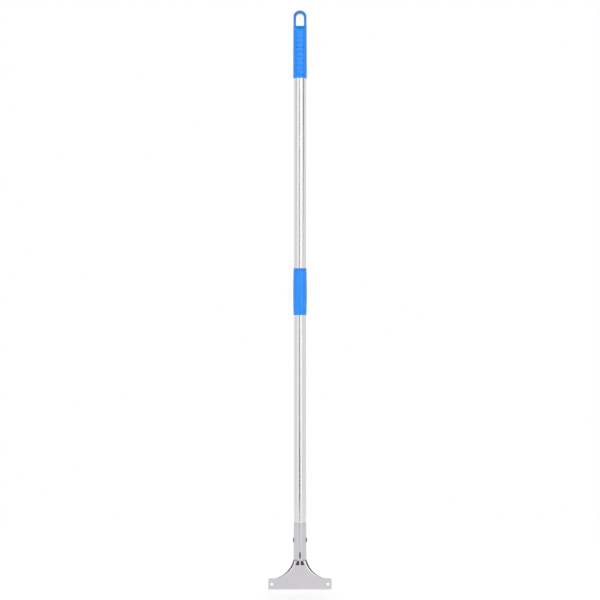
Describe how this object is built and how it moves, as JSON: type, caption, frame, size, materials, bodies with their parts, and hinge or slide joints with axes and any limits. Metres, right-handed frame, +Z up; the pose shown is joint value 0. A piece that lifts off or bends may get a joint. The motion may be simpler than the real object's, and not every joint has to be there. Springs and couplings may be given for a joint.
{
  "type": "long handled scraper",
  "caption": "Long-handled wall and floor scraper: a pressed steel fan head with a straight edge on a screw-together steel tube handle with plastic joint sleeve and hanging grip.",
  "frame": {"origin": "middle of the working edge of the fan plate, on the handle's axis", "axes": "+Z up the handle towards the hanging loop, -Y out of the front face of the fan plate, X along the working edge"},
  "size_m": [0.1, 0.0218, 0.9144],
  "materials": {
    "blue_plastic": "moulded, semi-gloss",
    "polished_steel": "polished stainless tube",
    "pressed_steel": "pressed stainless sheet, satin",
    "rivet_steel": "plain, dark",
    "pin_steel": "plain",
    "black_plastic": "moulded, matt",
    "washer_rubber": "matt"
  },
  "bodies": {
    "upper_section": {"hand_grip": "blue_plastic", "upper_tube": "polished_steel", "upper_coupler": "black_plastic", "upper_pin": "pin_steel"},
    "washer": {"coupler_washer": "washer_rubber"},
    "lower_section": {"joint_sleeve": "blue_plastic", "lower_tube": "polished_steel", "lower_coupler": "black_plastic", "lower_pin": "pin_steel", "head_socket": "pressed_steel", "socket_core": "black_plastic", "fan_plate": "pressed_steel", "rivet_bodies": "rivet_steel", "rivet_mandrels": "pin_steel"}
  },
  "joints": [
    {"name": "thread_travel", "type": "slide", "parent": "upper_section", "child": "washer", "axis": [0, 0, -1], "range_m": [0, 0.02]},
    {"name": "thread_turn", "type": "hinge", "parent": "washer", "child": "lower_section", "pos_m": [0, 0, 0.47035], "axis": [0, 0, -1], "range_deg": [0, 1801]}
  ],
  "couplings": [
    {"joint": "thread_turn", "follows": "thread_travel", "rad_per_m": 1570.8}
  ]
}
